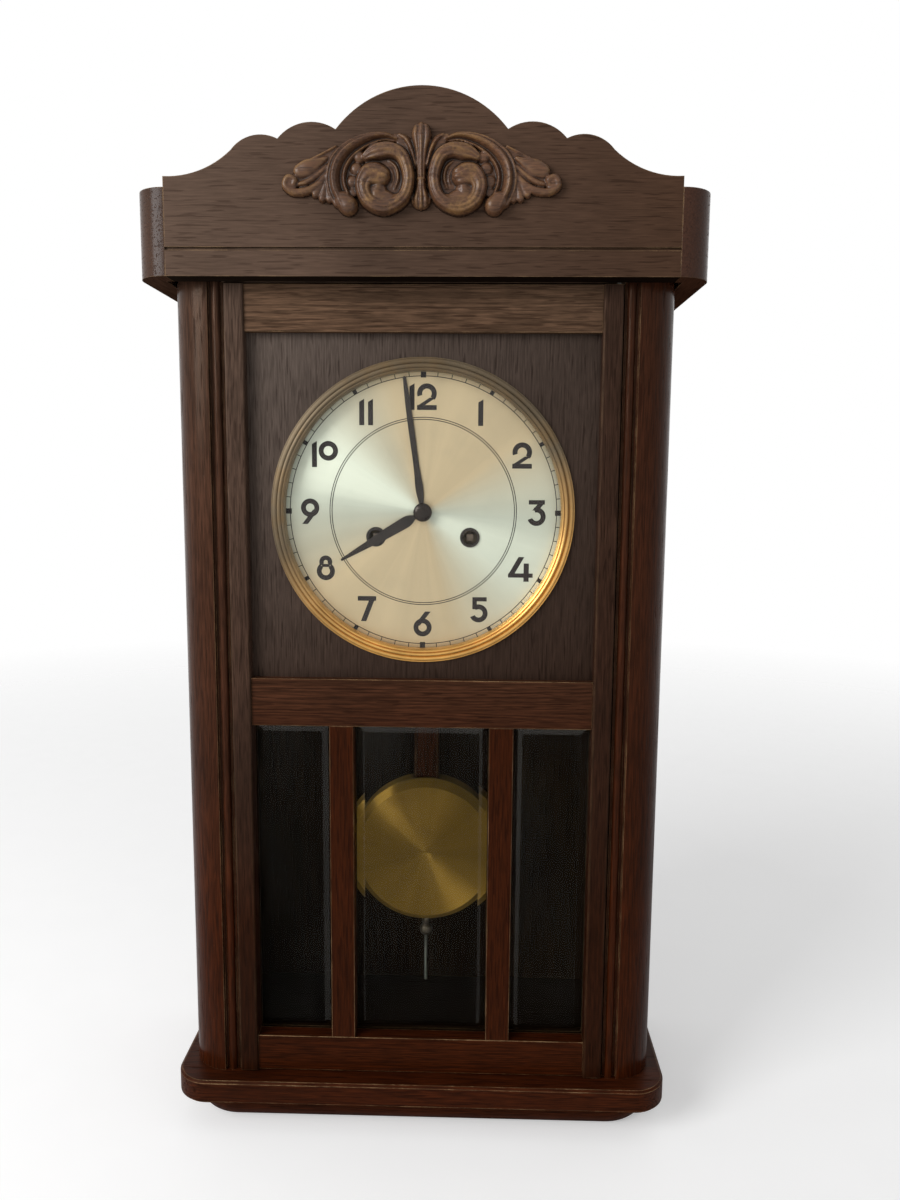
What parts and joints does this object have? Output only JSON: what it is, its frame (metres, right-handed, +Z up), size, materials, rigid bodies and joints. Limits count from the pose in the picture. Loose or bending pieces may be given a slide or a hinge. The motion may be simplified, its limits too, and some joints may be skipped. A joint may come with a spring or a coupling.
{
  "type": "pendulum wall clock",
  "caption": "Wooden wall clock with a scalloped carved crown, corner columns, a glazed hinged door, a brass-rimmed dial and a pendulum; striking spring movement.",
  "frame": {"origin": "centre of the hanger plate hole, on the wall plane", "axes": "+X to the right seen from the front, +Y into the wall, +Z up; the dial faces -Y"},
  "size_m": [0.343, 0.164, 0.6621],
  "materials": {
    "case_wood": "dark stained oak, worn varnish",
    "back_wood": "thin stained board, matt",
    "crown_wood": "stained oak, dusty varnish",
    "carving_wood": "carved beech, worn gilt-brown stain",
    "door_wood": "dark stained oak, worn varnish",
    "bezel_brass": "polished, aged",
    "dial_metal": "silvered, fine sunburst",
    "glass": "polished",
    "plate_brass": "brushed",
    "wheel_brass": "cut, satin",
    "steel": "satin",
    "hand_steel": "dark brown, semi-gloss",
    "gong_iron": "as cast, painted black",
    "pendulum_wood": "dark varnish",
    "bob_brass": "spun, aged",
    "nut_brass": "turned"
  },
  "bodies": {
    "case": {"back_board": "back_wood", "case_sides": "case_wood", "corner_posts": "case_wood", "header_rail": "case_wood", "top_board": "case_wood", "plinth": "case_wood", "base_moulding": "case_wood", "crown_front": "crown_wood", "crown_returns": "crown_wood", "crown_carving": "carving_wood", "hanger_plate": "steel", "hinge_pins": "steel", "catch_clip": "steel", "movement_brackets": "steel", "front_plate": "plate_brass", "back_plate": "plate_brass", "plate_pillars": "plate_brass", "dial": "dial_metal", "winding_grommets": "hand_steel", "suspension_cock": "plate_brass", "gong_block": "gong_iron", "gong_rods": "steel"},
    "door": {"door_stiles": "door_wood", "door_top_rail": "door_wood", "door_middle_rail": "door_wood", "door_bottom_rail": "door_wood", "door_mullions": "door_wood", "dial_panel": "door_wood", "bezel": "bezel_brass", "dial_glass": "glass", "door_panes": "glass", "glazing_beads": "door_wood", "catch_stud": "steel"},
    "pendulum": {"suspension_spring": "steel", "pendulum_hook": "steel", "pendulum_rod": "pendulum_wood", "rating_screw": "steel"},
    "bob": {"bob": "bob_brass"},
    "rating_nut": {"rating_nut": "nut_brass"},
    "anchor": {"anchor": "steel", "crutch": "steel"},
    "minute": {"minute_hand": "hand_steel", "hand_nut": "hand_steel", "cannon_pinion": "wheel_brass"},
    "minute_wheel": {"minute_wheel": "wheel_brass"},
    "hour": {"hour_wheel": "wheel_brass", "hour_hand": "hand_steel"},
    "centre": {"centre_wheel": "wheel_brass"},
    "intermediate": {"intermediate_wheel": "wheel_brass"},
    "time_barrel": {"time_barrel": "wheel_brass"},
    "third": {"third_wheel": "wheel_brass"},
    "escape": {"escape_wheel": "wheel_brass"},
    "time_winding": {"time_winding_arbor": "steel"},
    "pin_wheel": {"pin_wheel": "wheel_brass"},
    "strike_barrel": {"strike_barrel": "wheel_brass"},
    "warning": {"warning_wheel": "wheel_brass"},
    "fly": {"fly": "wheel_brass"},
    "strike_winding": {"strike_winding_arbor": "steel"},
    "hammer": {"hammer": "steel"}
  },
  "joints": [
    {"name": "door_hinge", "type": "hinge", "parent": "case", "child": "door", "pos_m": [0.119, -0.137, -0.3], "axis": [0, 0, 1], "range_deg": [0, 110]},
    {"name": "pendulum_swing", "type": "hinge", "parent": "case", "child": "pendulum", "pos_m": [0, -0.062, -0.11196], "axis": [0, 1, 0], "range_deg": [-4, 4]},
    {"name": "anchor_rock", "type": "hinge", "parent": "case", "child": "anchor", "pos_m": [0, -0.062, -0.11196], "axis": [0, 1, 0], "range_deg": [-4, 4]},
    {"name": "bob_height", "type": "slide", "parent": "pendulum", "child": "bob", "axis": [0, 0, 1], "range_m": [-0.006, 0.006]},
    {"name": "rating_nut_turn", "type": "hinge", "parent": "bob", "child": "rating_nut", "pos_m": [0, -0.062, -0.4125], "axis": [0, 0, 1], "range_deg": [-3100, 3100]},
    {"name": "minute_turn", "type": "hinge", "parent": "case", "child": "minute", "pos_m": [0, -0.12, -0.165], "axis": [0, 1, 0], "continuous": true},
    {"name": "minute_wheel_turn", "type": "hinge", "parent": "case", "child": "minute_wheel", "pos_m": [0.00852, -0.115, -0.15648], "axis": [0, 1, 0], "continuous": true},
    {"name": "hour_turn", "type": "hinge", "parent": "case", "child": "hour", "pos_m": [0, -0.12, -0.165], "axis": [0, 1, 0], "continuous": true},
    {"name": "centre_turn", "type": "hinge", "parent": "case", "child": "centre", "pos_m": [0, -0.09, -0.165], "axis": [0, 1, 0], "continuous": true},
    {"name": "intermediate_turn", "type": "hinge", "parent": "case", "child": "intermediate", "pos_m": [0.01824, -0.09, -0.15558], "axis": [0, 1, 0], "continuous": true},
    {"name": "time_barrel_turn", "type": "hinge", "parent": "case", "child": "time_barrel", "pos_m": [0.0301, -0.1, -0.181], "axis": [0, 1, 0], "continuous": true},
    {"name": "third_turn", "type": "hinge", "parent": "case", "child": "third", "pos_m": [-0.00501, -0.09, -0.14629], "axis": [0, 1, 0], "continuous": true},
    {"name": "escape_turn", "type": "hinge", "parent": "case", "child": "escape", "pos_m": [0, -0.09, -0.13086], "axis": [0, 1, 0], "continuous": true},
    {"name": "time_winding", "type": "hinge", "parent": "case", "child": "time_winding", "pos_m": [0.0301, -0.1, -0.181], "axis": [0, 1, 0], "continuous": true},
    {"name": "pin_wheel_turn", "type": "hinge", "parent": "case", "child": "pin_wheel", "pos_m": [-0.03593, -0.09, -0.15356], "axis": [0, 1, 0], "continuous": true},
    {"name": "strike_barrel_turn", "type": "hinge", "parent": "case", "child": "strike_barrel", "pos_m": [-0.0301, -0.1, -0.181], "axis": [0, 1, 0], "continuous": true},
    {"name": "warning_turn", "type": "hinge", "parent": "case", "child": "warning", "pos_m": [-0.02261, -0.09, -0.14198], "axis": [0, 1, 0], "continuous": true},
    {"name": "fly_turn", "type": "hinge", "parent": "case", "child": "fly", "pos_m": [-0.02604, -0.09, -0.13004], "axis": [0, 1, 0], "continuous": true},
    {"name": "strike_winding", "type": "hinge", "parent": "case", "child": "strike_winding", "pos_m": [-0.0301, -0.1, -0.181], "axis": [0, 1, 0], "continuous": true},
    {"name": "hammer_lift", "type": "hinge", "parent": "case", "child": "hammer", "pos_m": [-0.049, -0.09, -0.135], "axis": [0, 1, 0], "range_deg": [0, 20]}
  ],
  "couplings": [
    {"joint": "anchor_rock", "follows": "pendulum_swing", "ratio": 1},
    {"joint": "rating_nut_turn", "follows": "bob_height", "rad_per_m": 8976},
    {"joint": "minute_wheel_turn", "follows": "minute_turn", "ratio": -0.33333},
    {"joint": "hour_turn", "follows": "minute_turn", "ratio": 0.083333},
    {"joint": "intermediate_turn", "follows": "centre_turn", "ratio": -0.18519},
    {"joint": "time_barrel_turn", "follows": "centre_turn", "ratio": 0.030864},
    {"joint": "third_turn", "follows": "centre_turn", "ratio": -11},
    {"joint": "escape_turn", "follows": "centre_turn", "ratio": 110},
    {"joint": "strike_barrel_turn", "follows": "pin_wheel_turn", "ratio": -0.16667},
    {"joint": "warning_turn", "follows": "pin_wheel_turn", "ratio": -7},
    {"joint": "fly_turn", "follows": "pin_wheel_turn", "ratio": 48}
  ]
}
